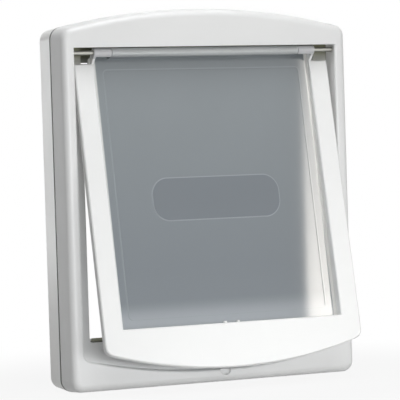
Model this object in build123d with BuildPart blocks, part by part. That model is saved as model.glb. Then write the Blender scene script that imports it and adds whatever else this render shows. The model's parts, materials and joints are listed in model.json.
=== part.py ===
"""Two-way pet door: two telescoping frames, a hinged surround and a swinging panel."""
import os
from math import cos, radians, sin, sqrt, tan

from build123d import *

# Frame of the part: X across the door, Y through it, Z up, with the visible face towards -Y.
# The origin is the centre of the tunnel, on the plane where the front frame meets the door.

# Overall moulding
overall_width = 294.0
side_rail = 13.15
bottom_rail = 45.0
head_rail = 26.0
front_depth = 26.0
rear_depth = 31.2
frame_gap = 2.2
wall = 2.5
arch_radius = 600.0
corner_radius = 12.0
front_edge_round = 6.5
rear_edge_chamfer = 3.0
front_draft = 4.0
rear_draft = 2.5

# Tunnel that the animal walks through
ledge_width = 13.35
tunnel_height = 281.0
tunnel_corner_radius = 3.0
sleeve_clearance = 0.4
front_sleeve_length = 19.0
sleeve_end_gap = 1.0
rear_head_drop = 22.0
rear_corner_radius = 10.0

# Rebate in the front face that the surround closes into
rebate_depth = 19.3
rebate_top_lip = 10.0
lip_rail = 13.3
lip_radius = 513.0
rebate_corner_radius = 7.0
lip_round = 2.2

# Finger notch in the bottom rail
notch_offset = 8.0
notch_radius = 6.0
notch_lift = 1.5
notch_pad_width = 20.0
notch_pad_depth = 8.0

# Stiffening ribs inside the hollow rails
rib_thickness = 1.8
rib_pitch = 48.0
rib_depth = 14.0

# Hinge line
hinge_drop = 14.6
hinge_setback = 6.5
rod_radius = 2.0
rod_running_gap = 0.06
rod_press_gap = 0.02
rod_chamfer = 0.4
barrel_radius = 4.1
barrel_running_gap = 0.08
knuckle_length = 15.0
knuckle_side_gap = 0.6
bush_radius = 3.6
bush_fit_gap = 0.05
bush_length = 7.0
bush_end = 1.2
boss_wall = 1.6

# Flap surround
open_angle = 11.9
surround_side_gap = 3.55
surround_bottom_gap = 2.1
surround_rest_gap = 0.2
side_strip = 19.2
bottom_strip = 41.0
surround_setback = 6.3
surround_plate = 2.4
surround_wall = 2.2
surround_top_gap = 8.7
surround_arc_radius = 439.0
surround_corner_radius = 9.5
surround_edge_chamfer = 1.0
ear_reach = 20.0
nib_spacing = 13.2
nib_width = 2.4
nib_height = 2.0
nib_depth = 3.0

# Swinging panel
panel_side_lap = 3.4
panel_bottom_lap = 7.0
panel_top_gap = 1.0
panel_thickness = 3.0
panel_lean = 1.15
panel_setback = 10.4
panel_seat_gap = 0.3
panel_side_gap = 0.6
panel_corner_radius = 5.0
web_thickness = 3.0
field_side_margin = 13.5
field_top = 14.0
field_bottom_margin = 15.5
field_corner_radius = 4.0
bead_width = 1.2
bead_height = 0.4
plate_width = 130.0
plate_height = 40.0
plate_rise = 125.0
plate_corner_radius = 16.0
plate_raise = 0.6

# Magnetic closure
magnet_length = 60.0
magnet_height = 10.0
magnet_thickness = 2.6
magnet_rise = 12.6
magnet_gap = 0.1
magnet_chamfer = 0.4
cover_wall = 1.2
cover_skin = 0.9
keeper_length = 60.0
keeper_height = 12.0
keeper_thickness = 1.4
keeper_gap = 0.1

# Draught brush on the sill
brush_end_gap = 0.6
brush_width = 6.5
brush_setback = 1.2
carrier_height = 1.2
pile_height = 2.7
pile_width = 4.5
pile_taper = 6.0

# Clamping screws and their caps
screw_offset = 3.65
screw_inset = 25.5
post_width = 8.2
screw_radius = 1.9
screw_clear_gap = 0.3
screw_pilot_gap = 0.03
screw_length = 44.0
screw_head_radius = 3.4
screw_head_height = 2.4
counterbore_radius = 4.0
counterbore_depth = 7.0
counterbore_wall = 1.3
cap_gap = 0.08
cap_thickness = 3.0
rear_window_chamfer = 1.2
pilot_spare = 1.0

# Places that follow from the sizes above
half_width = overall_width / 2
rebate_width = overall_width - 2 * side_rail
tunnel_width = rebate_width - 2 * ledge_width
rebate_bottom = bottom_rail - lip_rail
ceiling_z = tunnel_height / 2
sill_z = -ceiling_z
bottom_z = sill_z - bottom_rail
apex_z = ceiling_z + head_rail
arch_center_z = apex_z - arch_radius
front_y = -front_depth
ledge_y = front_y + rebate_depth
rear_start_y = frame_gap
rear_y = rear_start_y + rear_depth
window_top_z = ceiling_z - rebate_top_lip
lip_z = sill_z - rebate_bottom
hinge_z = ceiling_z - hinge_drop
hinge_y = front_y + hinge_setback
surround_width = rebate_width - 2 * surround_side_gap
surround_drop = hinge_z - lip_z - surround_bottom_gap
surround_depth = rebate_depth - hinge_setback - surround_setback - surround_rest_gap
window_width = surround_width - 2 * side_strip
window_drop = surround_drop - bottom_strip
panel_width = window_width + 2 * panel_side_lap
panel_drop = window_drop + panel_bottom_lap
field_width = panel_width - 2 * field_side_margin
field_bottom = panel_drop - field_bottom_margin
plate_top = panel_drop - plate_rise - plate_height / 2
half_barrel = window_width / 2 - knuckle_length - knuckle_side_gap
half_rod = rebate_width / 2 + bush_length - bush_end - knuckle_side_gap
screw_seat_y = rear_y - counterbore_depth
brush_length = tunnel_width - 2 * (tunnel_corner_radius + brush_end_gap)
magnet_drop = surround_drop - magnet_rise
keeper_z = hinge_z - magnet_drop
rib_count = int(tunnel_width // rib_pitch) + 1
screw_x = rebate_width / 2 + screw_offset
screw_z = tunnel_height / 2 - screw_inset
rear_post_width = 2 * (counterbore_radius + counterbore_wall)
ear_depth = panel_setback - panel_seat_gap - bush_fit_gap


def tilted_plane(angle):
    """Plane through the hinge line, facing the viewer, tipped out by angle; its y runs up."""
    tip = radians(angle)
    return Plane(origin=(0, hinge_y, hinge_z), x_dir=(1, 0, 0), z_dir=(0, -cos(tip), sin(tip)))


def frame_outline(inset):
    """Arched outline of both frames, set in by inset."""
    half = half_width - inset
    radius = arch_radius - inset
    shoulder = arch_center_z + sqrt(radius**2 - half**2)
    base = bottom_z + inset
    with BuildSketch() as outline:
        with BuildLine():
            ThreePointArc((half, shoulder), (0, apex_z - inset), (-half, shoulder))
            Polyline((-half, shoulder), (-half, base), (half, base), (half, shoulder))
        make_face()
        fillet(outline.vertices(), radius=corner_radius - inset)
    return outline.sketch


def frame_body(inset, depth, draft, ease, edge_size):
    """Filled drafted body of the frame outline, set in by inset, with its face's edge eased."""
    with BuildPart() as body:
        with BuildSketch():
            add(frame_outline(inset))
        extrude(amount=depth - inset, taper=draft)
        ease(body.faces().sort_by(Axis.Z)[-1].edges(), edge_size - inset)
    return body.part


def frame_shell(depth, draft, ease, edge_size):
    """Hollow drafted shell of the frame outline, open at z = 0, its face at z = depth with an eased edge."""
    inner_chamfer = (2 - sqrt(2)) * (edge_size - wall)
    with BuildPart() as cavity:
        with BuildSketch():
            add(frame_outline(wall))
        extrude(amount=depth - wall, taper=draft)
        chamfer(cavity.faces().sort_by(Axis.Z)[-1].edges(), length=inner_chamfer)
    with BuildPart() as shell:
        add(frame_body(0, depth, draft, ease, edge_size))
        add(cavity.part, mode=Mode.SUBTRACT)
    return shell.part


def rebate_outline(grow, top):
    """Rebate with a smiling lower edge, grown outward by grow, up to the height top."""
    half = rebate_width / 2 + grow
    radius = lip_radius + grow
    lip_center = lip_z + lip_radius
    corner = lip_center - sqrt(radius**2 - half**2)
    with BuildSketch() as outline:
        with BuildLine():
            ThreePointArc((-half, corner), (0, lip_center - radius), (half, corner))
            Polyline((half, corner), (half, top), (-half, top), (-half, corner))
        make_face()
        fillet(outline.vertices().group_by(Axis.Y)[0], radius=rebate_corner_radius + grow)
    return outline.sketch


def tunnel_outline(grow):
    """Rectangular tunnel with eased corners, grown outward by grow."""
    with BuildSketch() as outline:
        RectangleRounded(tunnel_width + 2 * grow, tunnel_height + 2 * grow, tunnel_corner_radius + grow)
    return outline.sketch


def surround_outline(inset):
    """Outer shape of the flap surround, filled, set in by inset; y = 0 is the hinge line."""
    half = surround_width / 2 - inset
    radius = surround_arc_radius - inset
    low = -surround_drop + inset
    corner = low + radius - sqrt(radius**2 - half**2)
    top = -surround_top_gap - inset
    with BuildSketch() as outline:
        with BuildLine():
            ThreePointArc((-half, corner), (0, low), (half, corner))
            Polyline((half, corner), (half, top), (-half, top), (-half, corner))
        make_face()
        fillet(outline.vertices().group_by(Axis.Y)[0], radius=surround_corner_radius - inset)
    return outline.sketch


def window_cut(grow):
    """Opening of the surround, open at its top, grown outward by grow."""
    with BuildSketch() as opening:
        with Locations((0, -window_drop - grow)):
            Rectangle(
                window_width + 2 * grow,
                window_drop + grow - surround_top_gap + surround_wall,
                align=(Align.CENTER, Align.MIN),
            )
    return opening.sketch


def side_plane(x, angle):
    """Plane across the hinge line at x, facing +X; its x runs back through the flap, its y up it."""
    tip = radians(angle)
    return Plane(origin=(x, hinge_y, hinge_z), x_dir=(0, cos(tip), -sin(tip)), z_dir=(1, 0, 0))


def bar_outline(width, top, bottom, radius):
    """Rounded rectangle between two distances below the hinge line."""
    with BuildSketch() as outline:
        with Locations((0, -(top + bottom) / 2)):
            RectangleRounded(width, bottom - top, radius)
    return outline.sketch


front_plane = Plane.XZ
rear_plane = Plane(origin=(0, rear_start_y, 0), x_dir=(-1, 0, 0), z_dir=(0, 1, 0))
surround_plane = tilted_plane(open_angle)
panel_plane = tilted_plane(open_angle - panel_lean)
screw_points = [(sx * screw_x, sz * screw_z) for sz in (1, -1) for sx in (-1, 1)]


def front_stiffeners():
    """Screw posts, notch pad and ribs inside the front frame's hollow, ended within its wall."""
    rail_depth = front_depth - wall
    rail_height = bottom_rail - rebate_bottom - wall
    with BuildPart() as stiffeners:
        with BuildSketch(front_plane):
            with Locations(*screw_points):
                Rectangle(post_width, post_width)
        extrude(amount=front_depth)
        with BuildSketch(front_plane.offset(rail_depth - notch_pad_depth)):
            with Locations((notch_offset, bottom_z)):
                Rectangle(notch_pad_width, wall / 2 + rail_height, align=(Align.CENTER, Align.MIN))
        extrude(amount=notch_pad_depth + wall)
        with BuildSketch(front_plane.offset(rail_depth - rib_depth)):
            with Locations((0, bottom_z)):
                with GridLocations(rib_pitch, 0, rib_count, 1):
                    Rectangle(rib_thickness, wall / 2 + rail_height, align=(Align.CENTER, Align.MIN))
        extrude(amount=rib_depth + wall)
        trim = frame_body(wall / 2, front_depth, front_draft, fillet, front_edge_round)
        add(front_plane * trim, mode=Mode.INTERSECT)
    return stiffeners.part


# Front frame: arched moulding with the rebate, the tunnel sleeve and the hinge bosses
front_shell = frame_shell(front_depth, front_draft, fillet, front_edge_round)
with BuildPart() as front_frame:
    add(front_plane * front_shell)
    # Tray that forms the rebate, its ledge, and the sleeve behind it
    with BuildSketch(front_plane.offset(-ledge_y - wall)):
        add(rebate_outline(wall, ceiling_z + wall))
    extrude(amount=rebate_depth)
    with BuildSketch(front_plane.offset(-ledge_y - wall / 2)):
        add(tunnel_outline(wall))
    extrude(amount=-front_sleeve_length)
    # Screw posts, notch pad, ribs and hinge bosses inside the hollow
    add(front_stiffeners())
    for side in (-1, 1):
        boss_start = (side * rebate_width / 2, hinge_y, hinge_z)
        with BuildSketch(Plane(origin=boss_start, x_dir=(0, 1, 0), z_dir=(side, 0, 0))):
            Circle(bush_radius + bush_fit_gap + boss_wall)
        extrude(amount=bush_length)
    # Rebate, front window and tunnel
    with BuildSketch(front_plane.offset(-ledge_y)):
        add(rebate_outline(0, ceiling_z))
    extrude(amount=rebate_depth - wall, mode=Mode.SUBTRACT)
    with BuildSketch(front_plane.offset(front_depth)):
        add(rebate_outline(0, window_top_z))
    extrude(amount=-rebate_depth, mode=Mode.SUBTRACT)
    with BuildSketch(front_plane.offset(-ledge_y)):
        add(tunnel_outline(0))
    extrude(amount=-front_sleeve_length - wall, mode=Mode.SUBTRACT)
    # Rounded lip along the smile and up both sides of the window
    window_edges = front_frame.faces().sort_by(Axis.Y)[0].inner_wires()[0].edges()
    fillet(window_edges.sort_by(Axis.Z)[:-1], radius=lip_round)
    # Finger notch
    notch_y = front_y - notch_lift
    with Locations((notch_offset, notch_y, lip_z)):
        Sphere(notch_radius, mode=Mode.SUBTRACT)
    # Bush bores, screw pilots and keeper recess
    for side in (-1, 1):
        boss_start = (side * rebate_width / 2, hinge_y, hinge_z)
        with BuildSketch(Plane(origin=boss_start, x_dir=(0, 1, 0), z_dir=(side, 0, 0))):
            Circle(bush_radius + bush_fit_gap)
        extrude(amount=bush_length, mode=Mode.SUBTRACT)
    pilot_depth = screw_length - screw_seat_y + pilot_spare
    with BuildSketch(front_plane):
        with Locations(*screw_points):
            Circle(screw_radius + screw_pilot_gap)
    extrude(amount=pilot_depth, mode=Mode.SUBTRACT)
    with BuildSketch(front_plane.offset(-ledge_y)):
        with Locations((0, keeper_z)):
            Rectangle(keeper_length + 2 * keeper_gap, keeper_height + 2 * keeper_gap)
    extrude(amount=-keeper_thickness, mode=Mode.SUBTRACT)
front_frame.part.label = "front_frame"

# Rear frame: the same outline, a head plate over its opening, and the outer sleeve
rear_shell = frame_shell(rear_depth, rear_draft, chamfer, rear_edge_chamfer)
rear_sleeve_end_y = ledge_y + wall + sleeve_end_gap
with BuildPart() as rear_frame:
    add(rear_plane * rear_shell)
    sleeve_inner = wall + sleeve_clearance
    with BuildSketch(rear_plane.offset(rear_depth - wall / 2)):
        add(tunnel_outline(sleeve_inner + wall))
        add(tunnel_outline(sleeve_inner), mode=Mode.SUBTRACT)
    extrude(amount=-(rear_y - wall / 2 - rear_sleeve_end_y))
    with BuildSketch(rear_plane):
        with Locations(*screw_points):
            Rectangle(rear_post_width, rear_post_width)
    extrude(amount=rear_depth - wall / 2)
    rear_opening_height = tunnel_height - rear_head_drop
    with BuildSketch(rear_plane.offset(rear_depth)):
        with Locations((0, sill_z + rear_opening_height / 2)):
            RectangleRounded(tunnel_width, rear_opening_height, rear_corner_radius)
    extrude(amount=-2 * wall, mode=Mode.SUBTRACT)
    chamfer(rear_frame.faces().sort_by(Axis.Y)[-1].inner_wires().edges(), length=rear_window_chamfer)
    with BuildSketch(rear_plane.offset(rear_depth)):
        with Locations(*screw_points):
            Circle(counterbore_radius)
    extrude(amount=-counterbore_depth, mode=Mode.SUBTRACT)
    with BuildSketch(rear_plane):
        with Locations(*screw_points):
            Circle(screw_radius + screw_clear_gap)
    extrude(amount=rear_depth, mode=Mode.SUBTRACT)
rear_frame.part.label = "rear_frame"

# Flap surround: a U-shaped channel moulding with two hinge ears
face_axis = Axis(surround_plane.origin, surround_plane.z_dir)
with BuildPart() as flap_surround:
    with BuildSketch(surround_plane.offset(-surround_setback)):
        add(surround_outline(0))
        add(window_cut(0), mode=Mode.SUBTRACT)
    extrude(amount=-surround_plate)
    with BuildSketch(surround_plane.offset(-surround_setback - surround_plate / 2)):
        add(surround_outline(0))
        add(surround_outline(surround_wall), mode=Mode.SUBTRACT)
        add(window_cut(0), mode=Mode.SUBTRACT)
    extrude(amount=-(surround_depth - surround_plate / 2))
    chamfer(flap_surround.faces().sort_by(face_axis)[-1].edges(), length=surround_edge_chamfer)
    # Inner flange that the panel seats on, deeper towards the bottom
    flange_depth = panel_setback + (window_drop + surround_wall) * tan(radians(panel_lean)) - surround_setback
    with BuildSketch(surround_plane.offset(-surround_setback - surround_plate / 2)):
        add(window_cut(surround_wall))
        add(window_cut(0), mode=Mode.SUBTRACT)
        add(surround_outline(0), mode=Mode.INTERSECT)
    extrude(amount=-flange_depth)
    trim_height = window_drop + 4 * surround_wall
    with BuildSketch(panel_plane.offset(panel_seat_gap - panel_setback)):
        with Locations((0, -window_drop / 2)):
            Rectangle(panel_width + 2 * panel_side_gap, trim_height)
    extrude(amount=-flange_depth, mode=Mode.SUBTRACT)
    # Hinge ears and end knuckles
    knuckle_in = window_width / 2 - knuckle_length
    for ear_x, knuckle_x in (
        (window_width / 2, knuckle_in),
        (-window_width / 2 - surround_wall, -window_width / 2 - surround_wall),
    ):
        with BuildSketch(side_plane(ear_x, open_angle)):
            with BuildLine():
                tangent = barrel_radius / sqrt(2)
                Polyline(
                    (-tangent, -tangent),
                    (surround_setback, -surround_top_gap),
                    (surround_setback, -ear_reach),
                    (ear_depth, -ear_reach),
                    (ear_depth, -tangent),
                    (tangent, tangent),
                    close=True,
                )
            make_face()
        extrude(amount=surround_wall)
        with BuildSketch(side_plane(knuckle_x, open_angle)):
            Circle(barrel_radius)
        extrude(amount=knuckle_length + surround_wall)
    with BuildSketch(side_plane(-surround_width / 2, open_angle)):
        Circle(rod_radius + rod_press_gap)
    extrude(amount=surround_width, mode=Mode.SUBTRACT)
    # Two nibs that catch the panel's lower edge
    with BuildSketch(panel_plane.offset(panel_seat_gap - panel_setback)):
        with Locations((-nib_spacing / 2, -window_drop), (nib_spacing / 2, -window_drop)):
            Rectangle(nib_width, 2 * nib_height)
    extrude(amount=nib_depth)
flap_surround.part.label = "flap_surround"

# Flap panel: translucent sheet, rolled over the rod at its top
with BuildPart() as flap_panel:
    with BuildSketch(panel_plane.offset(-panel_setback)):
        add(bar_outline(panel_width, panel_top_gap, panel_drop, panel_corner_radius))
    extrude(amount=-panel_thickness)
    with BuildSketch(panel_plane.offset(-panel_setback)):
        add(bar_outline(field_width, field_top, field_bottom, field_corner_radius))
        add(
            bar_outline(
                field_width - 2 * bead_width,
                field_top + bead_width,
                field_bottom - bead_width,
                field_corner_radius - bead_width,
            ),
            mode=Mode.SUBTRACT,
        )
    extrude(amount=bead_height)
    with BuildSketch(panel_plane.offset(-panel_setback)):
        add(bar_outline(plate_width, plate_top, plate_top + plate_height, plate_corner_radius))
    extrude(amount=plate_raise)
    panel_side = side_plane(-half_barrel, open_angle - panel_lean)
    with BuildSketch(panel_side):
        Circle(barrel_radius)
        with Locations((0, -panel_top_gap)):
            Rectangle(
                panel_setback + panel_thickness / 2,
                web_thickness,
                align=(Align.MIN, Align.MAX),
            )
    extrude(amount=2 * half_barrel)
    with BuildSketch(panel_side):
        Circle(rod_radius + barrel_running_gap)
    extrude(amount=2 * half_barrel, mode=Mode.SUBTRACT)
flap_panel.part.label = "flap_panel"

# Hinge rod: plain wire, fixed in the surround's knuckles and turning in the frame's bushes
with BuildPart() as hinge_rod:
    with BuildSketch(side_plane(-half_rod, open_angle)):
        Circle(rod_radius)
    extrude(amount=2 * half_rod)
    chamfer(hinge_rod.edges().filter_by(GeomType.CIRCLE), length=rod_chamfer)
hinge_rod.part.label = "hinge_rod"


def make_bush(side):
    """Closed bush for one end of the rod; side is -1 for left and 1 for right."""
    mouth = Plane(origin=(side * rebate_width / 2, hinge_y, hinge_z), x_dir=(0, 1, 0), z_dir=(side, 0, 0))
    with BuildPart() as bush:
        with BuildSketch(mouth):
            Circle(bush_radius)
        extrude(amount=bush_length)
        with BuildSketch(mouth):
            Circle(rod_radius + rod_running_gap)
        extrude(amount=bush_length - bush_end, mode=Mode.SUBTRACT)
    return bush.part


# Magnet in the surround's bottom channel, its cover, and the keeper set in the ledge
channel_plane = surround_plane.offset(-surround_setback - surround_plate)
with BuildPart() as surround_magnet:
    with BuildSketch(channel_plane.offset(-magnet_gap)):
        with Locations((0, -magnet_drop)):
            Rectangle(magnet_length, magnet_height)
    extrude(amount=-magnet_thickness)
    chamfer(surround_magnet.edges(), length=magnet_chamfer)
surround_magnet.part.label = "surround_magnet"

with BuildPart() as magnet_cover:
    pocket_depth = magnet_thickness + 2 * magnet_gap
    with BuildSketch(channel_plane):
        with Locations((0, -magnet_drop)):
            spread = 2 * (magnet_gap + cover_wall)
            RectangleRounded(magnet_length + spread, magnet_height + spread, cover_wall)
    extrude(amount=-pocket_depth - cover_skin)
    with BuildSketch(channel_plane):
        with Locations((0, -magnet_drop)):
            Rectangle(magnet_length + 2 * magnet_gap, magnet_height + 2 * magnet_gap)
    extrude(amount=-pocket_depth, mode=Mode.SUBTRACT)
magnet_cover.part.label = "magnet_cover"

with BuildPart() as keeper_plate:
    with BuildSketch(front_plane.offset(-ledge_y)):
        with Locations((0, keeper_z)):
            Rectangle(keeper_length, keeper_height)
    extrude(amount=-keeper_thickness)
keeper_plate.part.label = "keeper_plate"

# Draught brush along the sill: a carrier strip and its pile
with BuildPart() as sill_brush_carrier:
    with BuildSketch(Plane.XY.offset(sill_z)):
        with Locations((0, ledge_y + brush_setback + brush_width / 2)):
            Rectangle(brush_length, brush_width)
    extrude(amount=carrier_height)
sill_brush_carrier.part.label = "sill_brush_carrier"

with BuildPart() as sill_brush_pile:
    with BuildSketch(Plane.XY.offset(sill_z + carrier_height)):
        with Locations((0, ledge_y + brush_setback + brush_width / 2)):
            Rectangle(brush_length, pile_width)
    extrude(amount=pile_height, taper=pile_taper)
sill_brush_pile.part.label = "sill_brush_pile"

# Clamping screws, driven from the rear frame into the front frame's posts
screw_plane = rear_plane.offset(screw_seat_y - rear_start_y)
with BuildPart() as clamp_screws:
    with BuildSketch(screw_plane):
        with Locations(*screw_points):
            Circle(screw_head_radius)
    extrude(amount=screw_head_height)
    with BuildSketch(screw_plane):
        with Locations(*screw_points):
            Circle(screw_radius)
    extrude(amount=-screw_length)
clamp_screws.part.label = "clamp_screws"


def make_cap(point):
    """Plug that closes one screw's counterbore flush with the rear face."""
    with BuildPart() as cap:
        with BuildSketch(rear_plane.offset(rear_depth)):
            with Locations(point):
                Circle(counterbore_radius - cap_gap)
        extrude(amount=-cap_thickness)
    return cap.part


pieces = [
    front_frame.part,
    rear_frame.part,
    flap_surround.part,
    flap_panel.part,
    hinge_rod.part,
    surround_magnet.part,
    magnet_cover.part,
    keeper_plate.part,
    sill_brush_carrier.part,
    sill_brush_pile.part,
    clamp_screws.part,
]
for side, bush_name in ((-1, "rod_bush_left"), (1, "rod_bush_right")):
    bush = make_bush(side)
    bush.label = bush_name
    pieces.append(bush)
for number, point in enumerate(screw_points, start=1):
    cap = make_cap(point)
    cap.label = f"screw_cap_{number}"
    pieces.append(cap)

os.makedirs("parts", exist_ok=True)
for piece in pieces:
    export_step(piece, f"parts/{piece.label}.step")
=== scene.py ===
"""Looks of the pet door: camera, studio, materials and the sill brush's bristles."""
import json
import random
from math import cos, pi, radians, sin

import bpy
from mathutils import Matrix, Vector


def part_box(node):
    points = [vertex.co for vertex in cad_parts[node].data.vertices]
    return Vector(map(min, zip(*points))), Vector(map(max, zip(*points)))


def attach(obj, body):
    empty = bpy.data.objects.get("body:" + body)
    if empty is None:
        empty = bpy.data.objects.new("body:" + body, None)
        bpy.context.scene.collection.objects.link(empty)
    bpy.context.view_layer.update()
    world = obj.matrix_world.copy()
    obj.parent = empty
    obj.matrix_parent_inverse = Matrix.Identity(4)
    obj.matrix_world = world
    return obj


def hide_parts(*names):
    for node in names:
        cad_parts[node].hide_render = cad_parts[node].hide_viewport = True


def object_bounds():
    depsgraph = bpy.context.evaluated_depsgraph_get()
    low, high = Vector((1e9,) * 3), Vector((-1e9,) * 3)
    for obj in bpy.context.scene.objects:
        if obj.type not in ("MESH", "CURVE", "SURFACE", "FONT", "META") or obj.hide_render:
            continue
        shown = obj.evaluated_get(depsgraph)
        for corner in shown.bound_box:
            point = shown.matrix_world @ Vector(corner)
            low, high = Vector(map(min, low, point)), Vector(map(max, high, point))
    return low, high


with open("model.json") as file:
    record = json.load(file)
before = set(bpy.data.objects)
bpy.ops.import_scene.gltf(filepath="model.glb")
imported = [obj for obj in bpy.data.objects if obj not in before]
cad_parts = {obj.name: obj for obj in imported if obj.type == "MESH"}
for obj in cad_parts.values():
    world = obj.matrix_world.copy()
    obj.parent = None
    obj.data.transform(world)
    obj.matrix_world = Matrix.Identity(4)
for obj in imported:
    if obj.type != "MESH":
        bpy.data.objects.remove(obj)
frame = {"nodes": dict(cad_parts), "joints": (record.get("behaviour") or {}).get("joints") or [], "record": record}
cad_low, cad_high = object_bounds()

# Camera, in metres and degrees
camera_azimuth = -24.81
camera_elevation = 1.64
camera_roll = -1.8
camera_distance = 2.1015
camera_target = Vector((-0.01319, -0.026, -0.01277))
camera_clip_end = 100.0
focal_pixels = 2255.9
image_pixels = 400
sensor_mm = 36.0

# World: white where it is seen, and a dim light that is brighter straight behind
white = (1.0, 1.0, 1.0, 1.0)
white_strength = 1.0
ambient_strength = 0.09
behind_strength = 2.6
behind_reach = (0.8, 1.0)

# Floor: grey for light, white where it is seen, and shaded only near the object
floor_half = 4.0
floor_grey = (0.5, 0.5, 0.5, 1.0)
floor_fade = (0.17, 0.45)
floor_shade = 0.1

# Lamps: angles in degrees, places and sizes in metres, power in watts
lamp_color = (0.975, 0.99, 1.0)
softboxes = {
    "key": dict(azimuth=-6, elevation=64, distance=5.0, size=(3.0, 1.6), power=88),
    "fill": dict(azimuth=-12, elevation=1.8, distance=1.8, size=(0.7, 0.2), power=8.2),
    "back": dict(azimuth=-161.5, elevation=2.4, distance=1.25, size=(0.18, 0.44), power=1.0),
}

# Near lamps: the apron for the flap's foot and the hair light for the frame's top
near_lamps = {
    "apron": dict(
        place=Vector((0.06, -0.45, -0.15)),
        target=Vector((0.03, -0.03, -0.16)),
        size=(0.5, 0.05),
        power=0.61,
    ),
    "hair": dict(
        place=Vector((-0.02, -0.1, 0.5)),
        target=Vector((-0.02, -0.03, 0.17)),
        size=(0.4, 0.08),
        power=0.66,
    ),
}

# Strip light, with its radiance at the lower and the upper end
strip_color = (1.0, 0.953, 0.886)
strip_distance = 3.0
strip_size = (0.2, 0.75)
strip_offset = (0.322, -0.05)
strip_roll = -11.2
strip_radiance = (14.6, 3.8)

# Swinging panel: heights from its hinge line, and where each colour, painted light, highlight and shade starts and
# ends
joints = {joint["name"]: joint for joint in frame["joints"]}
hinge = Vector(joints["panel_swing"]["pos_m"])
panel_tilt = radians(10.75)
plate_drop = 0.137
plate_shape = dict(center=(0.0, 0.0, -plate_drop), half=(0.065, 0.02), radius=0.016)
plate_blur = 0.0003
plate_cover = 0.8
plate_line_width = 0.0008
field_drop = 0.13025
field_shape = dict(center=(0.0, 0.0, -field_drop), half=(0.101, 0.11625), radius=0.004)
field_line_width = 0.0009
field_foot = -field_drop - field_shape["half"][1]
foot_reach = (field_foot + 0.017, field_foot - 0.002)
lower_reach = (-0.05, -0.2)
side_reach = (0.1075, 0.1085)
barrel_reach = (0.0042, 0.0048)
knuckle_reach = (0.0053, 0.0059)

# Panel's colours, with painted light for its foot, sides and rolled top, and painted highlights for the plate's
# outline and the field's bead
smoke_upper = ((0.24, 0.27, 0.288), (0.262, 0.292, 0.312))
smoke_lower = (0.185, 0.213, 0.238)
painted_foot_light = (0.38, 0.41, 0.44)
smoke_plate = (0.155, 0.18, 0.205)
painted_side_light = (0.9, 0.9, 0.87)
painted_barrel_light = (0.8, 0.82, 0.82)
painted_plate_highlight = (0.42, 0.46, 0.49)
painted_bead_highlight = (0.36, 0.4, 0.42)

# Whites of the frames and the flap; the rear frame's paler white is painted light, and the rim line, the olive
# recess colours and the knuckle grey are painted shade
front_whites = ((0.82, 0.818, 0.81), (0.84, 0.838, 0.83))
rear_painted_light = (0.92, 0.915, 0.89)
rim_shade = (0.2, 0.2, 0.19)
painted_recess_shade_low = (0.5, 0.5, 0.46)
painted_recess_shade_high = (0.15, 0.15, 0.095)
flap_whites = ((0.88, 0.878, 0.868), (0.895, 0.893, 0.883))
knuckle_painted_shade = (0.6, 0.6, 0.61)

# Colours of the small pieces, each from dark to light
rod_greys = ((0.34, 0.34, 0.31), (0.42, 0.42, 0.39))
bush_whites = ((0.66, 0.66, 0.64), (0.72, 0.72, 0.7))
ferrite_blacks = ((0.05, 0.05, 0.055), (0.075, 0.075, 0.08))
keeper_greys = ((0.55, 0.55, 0.56), (0.66, 0.66, 0.67))
carrier_olives = ((0.2, 0.2, 0.165), (0.24, 0.24, 0.2))
bristle_olives = ((0.56, 0.55, 0.42), (0.72, 0.71, 0.57))
screw_greys = ((0.6, 0.6, 0.58), (0.7, 0.7, 0.68))

# Rear frame's start and its rim, where a seam shadow is painted, and the recess behind the hinge line in both
# frames, where shade is painted
rear_start = (0.0005, 0.0015)
rim_reach = (0.003, 0.0034)
recess_rise = (0.1165, 0.1245)
recess_foot = 0.002
recess_ceiling = 0.1402
recess_depth = (-0.0075, 0.0315)
recess_half = 0.1342
recess_blur = 0.0003

# Surfaces: noise scales per metre, relief and rounding in metres
noise_range = (0.3, 0.7)
flow_scale = 14.0
grain_scale = 2600.0
mottle_scale = 9.0
frost_scale = 1500.0
drawing_scale = 900.0
drawing_stretch = (0.02, 1.0, 1.0)
white_roughness = (0.3, 0.35)
smoke_roughness = (0.5, 0.56)
steel_roughness_spread = 0.06
matte_roughness_spread = 0.05
fine_relief = 0.0001
drawn_relief = 0.00005
edge_rounding = 0.0006
bevel_samples = 6

# Draught brush
bristle_spacing = 0.00042
bristle_radius = 0.00013
bristle_taper = 0.6
bristle_lean = 0.0003
bristle_share = (0.86, 1.0)
bristle_sides = 3
bristle_seed = 7


def set_inputs(tree, node, inputs):
    """Link or set a node's inputs, which are given by name or place."""
    for name, value in inputs.items():
        if isinstance(value, bpy.types.NodeSocket):
            tree.links.new(value, node.inputs[name])
        else:
            node.inputs[name].default_value = value


def add_node(tree, kind, inputs=None, **settings):
    """One node with its properties and inputs set."""
    node = tree.nodes.new(kind)
    for name, value in settings.items():
        setattr(node, name, value)
    set_inputs(tree, node, inputs or {})
    return node


def new_material(name):
    """A material with a Principled shader; returns it with its node tree and shader."""
    material = bpy.data.materials.new(name)
    material.use_nodes = True
    tree = material.node_tree
    return material, tree, tree.nodes["Principled BSDF"]


def on_values(tree, operation, *values):
    """One operation on values; returns the value socket."""
    node = add_node(tree, "ShaderNodeMath", dict(enumerate(values)), operation=operation)
    return node.outputs["Value"]


def on_vectors(tree, operation, *vectors):
    """One operation on vectors; returns the vector socket."""
    node = add_node(tree, "ShaderNodeVectorMath", dict(enumerate(vectors)), operation=operation)
    return node.outputs["Vector"]


def length(tree, vector):
    """Length of a vector; returns the value socket."""
    return add_node(tree, "ShaderNodeVectorMath", {0: vector}, operation="LENGTH").outputs["Value"]


def split(tree, vector):
    """The X, Y and Z sockets of a vector."""
    return add_node(tree, "ShaderNodeSeparateXYZ", {"Vector": vector}).outputs


def object_place(tree):
    """Place in object space; returns the vector socket."""
    return add_node(tree, "ShaderNodeTexCoord").outputs["Object"]


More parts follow.
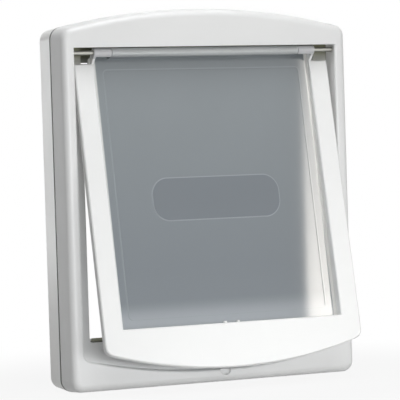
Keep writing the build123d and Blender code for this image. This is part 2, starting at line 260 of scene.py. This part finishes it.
def object_noise(tree, scale, stretch=(1.0, 1.0, 1.0)):
    """Noise in object space; returns its value socket."""
    mapping = add_node(tree, "ShaderNodeMapping", {"Vector": object_place(tree), "Scale": stretch})
    inputs = {"Vector": mapping.outputs["Vector"], "Scale": scale}
    return add_node(tree, "ShaderNodeTexNoise", inputs).outputs["Fac"]


def spread(tree, source, start, end, low, high, soft=False):
    """Map a value from start..end to low..high; returns the value socket."""
    inputs = {"Value": source, "From Min": start, "From Max": end, "To Min": low, "To Max": high}
    interpolation = "SMOOTHSTEP" if soft else "LINEAR"
    node = add_node(tree, "ShaderNodeMapRange", inputs, interpolation_type=interpolation)
    return node.outputs["Result"]


def rising(tree, source, start, end, soft=False):
    """A value's rise from 0 at start to 1 at end; returns the value socket."""
    return spread(tree, source, start, end, 0.0, 1.0, soft)


def falling(tree, source, start, end, soft=False):
    """A value's fall from 1 at start to 0 at end; returns the value socket."""
    return spread(tree, source, start, end, 1.0, 0.0, soft)


def vary(tree, noise, low, high):
    """Spread a noise value between low and high; returns the value socket."""
    return spread(tree, noise, *noise_range, low, high)


def mix_colors(tree, factor, first, second):
    """Mix two colours, each a socket or a plain colour, by a factor; returns the colour socket."""
    mix = add_node(tree, "ShaderNodeMix", {0: factor}, data_type="RGBA")
    color_inputs = [socket for socket in mix.inputs if socket.type == "RGBA"]
    for socket, color in zip(color_inputs, (first, second)):
        if isinstance(color, bpy.types.NodeSocket):
            tree.links.new(color, socket)
        else:
            socket.default_value = (*color, 1.0)
    return next(socket for socket in mix.outputs if socket.type == "RGBA")


def mix_shaders(tree, factor, first, second):
    """Mix two shader nodes by a factor; returns the shader socket."""
    inputs = {0: factor, 1: first.outputs[0], 2: second.outputs[0]}
    return add_node(tree, "ShaderNodeMixShader", inputs).outputs["Shader"]


def tint(tree, noise, dark, light):
    """Two colours mixed by a noise value; returns the colour socket."""
    return mix_colors(tree, vary(tree, noise, 0.0, 1.0), dark, light)


def bump(tree, shader, height, strength, distance, rounding=0.0):
    """Surface relief from a value socket, over edges softened by the rounding radius."""
    inputs = {"Height": height, "Strength": strength, "Distance": distance}
    if rounding:
        bevel = add_node(tree, "ShaderNodeBevel", {"Radius": rounding}, samples=bevel_samples)
        inputs["Normal"] = bevel.outputs["Normal"]
    relief = add_node(tree, "ShaderNodeBump", inputs)
    set_inputs(tree, shader, {"Normal": relief.outputs["Normal"]})


def panel_place(tree):
    """Place on the panel, from its hinge line: x across, y through, z up along it."""
    start = -(Matrix.Rotation(panel_tilt, 3, "X") @ hinge)
    inputs = {"Vector": object_place(tree), "Location": start, "Rotation": (panel_tilt, 0, 0)}
    return add_node(tree, "ShaderNodeMapping", inputs).outputs["Vector"]


def rounded_distance(tree, place, center, half, radius):
    """Distance on the panel from the outline of a rounded rectangle, negative inside."""
    core = (half[0] - radius, 0.0, half[1] - radius)
    offset = on_vectors(tree, "SUBTRACT", place, center)
    flat = on_vectors(tree, "MULTIPLY", offset, (1.0, 0.0, 1.0))
    folded = on_vectors(tree, "ABSOLUTE", flat)
    beyond = on_vectors(tree, "SUBTRACT", folded, core)
    outside = on_vectors(tree, "MAXIMUM", beyond, (0.0, 0.0, 0.0))
    return on_values(tree, "SUBTRACT", length(tree, outside), radius)


def line_along(tree, distance, width):
    """1 on an outline, falling to 0 at the given distance from it."""
    return falling(tree, on_values(tree, "ABSOLUTE", distance), 0.0, width, soft=True)


def from_hinge(tree):
    """Distance from the hinge line."""
    return length(tree, on_vectors(tree, "MULTIPLY", panel_place(tree), (0.0, 1.0, 1.0)))


def frame_white(tree, plain):
    """Front frame's white; on the rear frame a paler, yellower white that is painted light,
    with a dark painted seam shadow on its rim, and painted olive shade in the recess behind the hinge."""
    across, depth, height = split(tree, object_place(tree))
    aside = on_values(tree, "ABSOLUTE", across)
    rear = mix_colors(tree, rising(tree, depth, *rim_reach), rim_shade, rear_painted_light)
    both = mix_colors(tree, rising(tree, depth, *rear_start), plain, rear)
    shade = mix_colors(tree, rising(tree, height, *recess_rise), painted_recess_shade_low, painted_recess_shade_high)
    inside = rising(tree, height, recess_rise[0] - recess_foot, recess_rise[0])
    for gate in (
        falling(tree, height, recess_ceiling, recess_ceiling + recess_blur),
        falling(tree, aside, recess_half, recess_half + recess_blur),
        rising(tree, depth, recess_depth[0] - recess_blur, recess_depth[0]),
        falling(tree, depth, recess_depth[1], recess_depth[1] + recess_blur),
    ):
        inside = on_values(tree, "MULTIPLY", inside, gate)
    return mix_colors(tree, inside, both, shade)


def flap_white(tree, plain):
    """Flap's white, with painted shade that makes it greyer on the knuckles round the hinge line."""
    knuckle_shade_share = falling(tree, from_hinge(tree), *knuckle_reach)
    return mix_colors(tree, knuckle_shade_share, plain, knuckle_painted_shade)


def white_plastic(name, dark, light, recolor):
    """Satin white moulding with a fine eroded texture and faint flow shading."""
    material, tree, shader = new_material(name)
    flow = object_noise(tree, flow_scale)
    grain = object_noise(tree, grain_scale)
    set_inputs(tree, shader, {
        "Base Color": recolor(tree, tint(tree, flow, dark, light)),
        "Roughness": vary(tree, flow, *white_roughness),
        "Specular IOR Level": 0.5,
    })
    bump(tree, shader, grain, strength=0.1, distance=fine_relief, rounding=edge_rounding)
    return material


def smoky_panel(name):
    """Smoky frosted sheet with a smooth front, darker towards the bottom and inside its plate, with painted light
    on its sides, its rolled top and its lower border, and painted highlights along the plate's outline and the
    field's bead.
    """
    material, tree, shader = new_material(name)
    mottle = object_noise(tree, mottle_scale)
    frost = object_noise(tree, frost_scale)
    place = panel_place(tree)
    axes = split(tree, place)
    height = axes["Z"]
    aside = on_values(tree, "ABSOLUTE", axes["X"])
    plate = rounded_distance(tree, place, **plate_shape)
    field = rounded_distance(tree, place, **field_shape)
    color = tint(tree, mottle, *smoke_upper)
    for share, layer in (
        (rising(tree, height, *lower_reach), smoke_lower),
        (rising(tree, height, *foot_reach, soft=True), painted_foot_light),
        (spread(tree, plate, -plate_blur, plate_blur, plate_cover, 0.0), smoke_plate),
        (rising(tree, aside, *side_reach), painted_side_light),
        (line_along(tree, plate, plate_line_width), painted_plate_highlight),
        (line_along(tree, field, field_line_width), painted_bead_highlight),
        (falling(tree, from_hinge(tree), *barrel_reach), painted_barrel_light),
    ):
        color = mix_colors(tree, share, color, layer)
    set_inputs(tree, shader, {
        "Base Color": color,
        "Roughness": vary(tree, mottle, *smoke_roughness),
        "Transmission Weight": 0.6,
        "IOR": 1.46,
        "Coat Weight": 1.0,
        "Coat IOR": 1.6,
        "Coat Roughness": 0.04,
    })
    bump(tree, shader, frost, strength=0.1, distance=fine_relief)
    return material


def drawn_steel(name, dark, light, roughness):
    """Steel with lines along X from drawing or rolling."""
    material, tree, shader = new_material(name)
    lines = object_noise(tree, drawing_scale, drawing_stretch)
    smooth, rough = roughness - steel_roughness_spread, roughness + steel_roughness_spread
    set_inputs(tree, shader, {
        "Base Color": tint(tree, lines, dark, light),
        "Roughness": vary(tree, lines, smooth, rough),
        "Metallic": 1.0,
    })
    bump(tree, shader, lines, strength=0.1, distance=drawn_relief)
    return material


def matte(name, dark, light, roughness, scale):
    """Matt surface with a grain of the given scale."""
    material, tree, shader = new_material(name)
    grain = object_noise(tree, scale)
    smooth, rough = roughness - matte_roughness_spread, roughness + matte_roughness_spread
    set_inputs(tree, shader, {
        "Base Color": tint(tree, grain, dark, light),
        "Roughness": vary(tree, grain, smooth, rough),
        "Specular IOR Level": 0.3,
    })
    bump(tree, shader, grain, strength=0.15, distance=fine_relief)
    return material


slot_materials = {
    "white_plastic": white_plastic("white_plastic", *front_whites, frame_white),
    "flap_white": white_plastic("flap_white", *flap_whites, flap_white),
    "smoky_panel": smoky_panel("smoky_panel"),
    "rod_steel": drawn_steel("rod_steel", *rod_greys, roughness=0.4),
    "bush_plastic": matte("bush_plastic", *bush_whites, roughness=0.5, scale=1200.0),
    "ferrite": matte("ferrite", *ferrite_blacks, roughness=0.6, scale=1600.0),
    "keeper_steel": drawn_steel("keeper_steel", *keeper_greys, roughness=0.35),
    "brush_carrier": matte("brush_carrier", *carrier_olives, roughness=0.6, scale=1400.0),
    "brush_pile": matte("brush_pile", *bristle_olives, roughness=0.8, scale=2200.0),
    "screw_steel": drawn_steel("screw_steel", *screw_greys, roughness=0.32),
}
for part in frame["record"]["subparts"]:
    node = frame["nodes"][part["node"]]
    node.data.materials.clear()
    node.data.materials.append(slot_materials[part["material_slot"]])


def add_bristle(points, faces, x, y, foot, tip):
    """One tapered bristle, from its foot's height to its tip, in a mesh's points and faces."""
    angles = [2 * pi * k / bristle_sides for k in range(bristle_sides)]
    root = range(len(points), len(points) + bristle_sides)
    end = range(root.stop, root.stop + bristle_sides)
    for a in angles:
        points.append((x + bristle_radius * cos(a), y + bristle_radius * sin(a), foot))
    for a in angles:
        points.append(tip + bristle_taper * bristle_radius * Vector((cos(a), sin(a), 0)))
    for k in range(bristle_sides):
        after = (k + 1) % bristle_sides
        faces.append((root[k], root[after], end[after], end[k]))
    faces.append(tuple(end))
    faces.append(tuple(reversed(root)))


def make_bristles():
    """Rows of fine bristles that fill the brush pile's place on its carrier."""
    low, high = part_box("sill_brush_pile")
    draw = random.Random(bristle_seed)
    reach = bristle_radius + bristle_lean
    columns = int((high.x - low.x - 2 * reach) / bristle_spacing) + 1
    rows = int((high.y - low.y - 2 * reach) / bristle_spacing) + 1
    points = []
    faces = []
    for column in range(columns):
        for row in range(rows):
            x = low.x + reach + column * bristle_spacing
            y = low.y + reach + row * bristle_spacing
            lean = Vector((draw.uniform(-1, 1), draw.uniform(-1, 1), 0)) * bristle_lean
            height = (high.z - low.z) * draw.uniform(*bristle_share)
            tip = Vector((x, y, low.z + height)) + lean
            add_bristle(points, faces, x, y, low.z, tip)
    mesh = bpy.data.meshes.new("sill_bristles")
    mesh.from_pydata(points, [], faces)
    mesh.materials.append(slot_materials["brush_pile"])
    bristles = bpy.data.objects.new("sill_bristles", mesh)
    bpy.context.scene.collection.objects.link(bristles)
    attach(bristles, "frame")
    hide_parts("sill_brush_pile")


def seen_directly(tree):
    """1 for rays from the camera, a mirror or glass, 0 for the rays that light the object."""
    path = add_node(tree, "ShaderNodeLightPath").outputs
    seen = on_values(tree, "MAXIMUM", path["Is Camera Ray"], path["Is Glossy Ray"])
    return on_values(tree, "MAXIMUM", seen, path["Is Transmission Ray"])


def make_world():
    """White where it is seen directly, and for the rest dim, but brighter straight behind."""
    world = bpy.data.worlds.new("studio")
    world.use_nodes = True
    tree = world.node_tree
    tree.nodes.clear()
    heading = add_node(tree, "ShaderNodeTexCoord").outputs["Generated"]
    backward = split(tree, heading)["Y"]
    strength = spread(tree, backward, *behind_reach, ambient_strength, behind_strength, soft=True)
    dim = add_node(tree, "ShaderNodeBackground", {"Color": white, "Strength": strength})
    pale = add_node(tree, "ShaderNodeBackground", {"Color": white, "Strength": white_strength})
    surface = mix_shaders(tree, seen_directly(tree), dim, pale)
    add_node(tree, "ShaderNodeOutputWorld", {"Surface": surface})
    bpy.context.scene.world = world


def floor_material():
    """White where it is seen directly, apart from a share near the object that keeps its shadow."""
    material = bpy.data.materials.new("floor")
    material.use_nodes = True
    tree = material.node_tree
    tree.nodes.clear()
    away = length(tree, object_place(tree))
    plain = spread(tree, away, *floor_fade, 1.0 - floor_shade, 1.0, soft=True)
    share = on_values(tree, "MULTIPLY", seen_directly(tree), plain)
    lit = add_node(tree, "ShaderNodeBsdfDiffuse", {"Color": floor_grey})
    pale = add_node(tree, "ShaderNodeEmission", {"Color": white, "Strength": white_strength})
    surface = mix_shaders(tree, share, lit, pale)
    add_node(tree, "ShaderNodeOutputMaterial", {"Surface": surface})
    return material


def make_floor():
    """Floor under the frame's lower edge."""
    mesh = bpy.data.meshes.new("floor")
    corners = [(x * floor_half, y * floor_half, 0) for x, y in ((-1, -1), (1, -1), (1, 1), (-1, 1))]
    mesh.from_pydata(corners, [], [(0, 1, 2, 3)])
    mesh.materials.append(floor_material())
    floor = bpy.data.objects.new("floor", mesh)
    floor.location.z = cad_low.z
    bpy.context.scene.collection.objects.link(floor)


def direction(azimuth, elevation):
    """Unit vector towards an azimuth and elevation in degrees; azimuth 0 is in front."""
    a, e = radians(azimuth), radians(elevation)
    return Vector((sin(a) * cos(e), -cos(a) * cos(e), sin(e)))


def place_lamp(name, place, target, size, power, color, roll=0.0):
    """Rectangular lamp aimed at a point; returns its light."""
    light = bpy.data.lights.new(name, "AREA")
    light.shape = "RECTANGLE"
    light.size, light.size_y = size
    light.energy = power
    light.color = color
    lamp = bpy.data.objects.new(name, light)
    aim = (target - place).to_track_quat("-Z", "Y").to_matrix().to_4x4()
    lamp.matrix_world = Matrix.Translation(place) @ aim @ Matrix.Rotation(roll, 4, "Z")
    bpy.context.scene.collection.objects.link(lamp)
    return light


def add_softbox(name, azimuth, elevation, distance, size, power):
    """Soft box aimed at the origin, which is near the middle of the object."""
    place_lamp(name, direction(azimuth, elevation) * distance, Vector(), size, power, lamp_color)


def add_strip_light():
    """Narrow box, brighter below, that the panel's smooth front mirrors along its right side."""
    normal = Vector((0, -cos(panel_tilt), sin(panel_tilt)))
    view = -direction(camera_azimuth, camera_elevation)
    mirrored = view - 2 * view.dot(normal) * normal
    side = Vector((0, 0, 1)).cross(mirrored).normalized()
    rise = mirrored.cross(side)
    middle = hinge - Vector((0, sin(panel_tilt), cos(panel_tilt))) * plate_drop
    place = middle + mirrored * strip_distance + side * strip_offset[0] + rise * strip_offset[1]
    power = pi * strip_size[0] * strip_size[1]
    roll = radians(strip_roll)
    light = place_lamp("strip", place, middle, strip_size, power, strip_color, roll)
    light.use_nodes = True
    tree = light.node_tree
    parametric = add_node(tree, "ShaderNodeNewGeometry").outputs["Parametric"]
    upward = split(tree, parametric)["Y"]
    strength = spread(tree, upward, 0.0, 1.0, *strip_radiance)
    set_inputs(tree, tree.nodes["Emission"], {"Strength": strength})


def make_camera():
    """Camera at the photograph's viewing angle, tipped by its roll."""
    roll = radians(camera_roll)
    outward = direction(camera_azimuth, camera_elevation)
    level = (-outward).cross(Vector((0, 0, 1))).normalized()
    upright = level.cross(-outward)
    right = cos(roll) * level + sin(roll) * upright
    up = cos(roll) * upright - sin(roll) * level
    data = bpy.data.cameras.new("camera")
    data.sensor_width = sensor_mm
    data.lens = focal_pixels * sensor_mm / image_pixels
    data.clip_end = camera_clip_end
    camera = bpy.data.objects.new("camera", data)
    turn = Matrix((right, up, outward)).transposed().to_4x4()
    camera.matrix_world = Matrix.Translation(camera_target + outward * camera_distance) @ turn
    bpy.context.scene.collection.objects.link(camera)
    bpy.context.scene.camera = camera


make_bristles()
make_world()
make_floor()
for name, lamp in softboxes.items():
    add_softbox(name, **lamp)
for name, lamp in near_lamps.items():
    place_lamp(name, color=lamp_color, **lamp)
add_strip_light()
make_camera()
bpy.context.scene.view_settings.view_transform = "Standard"
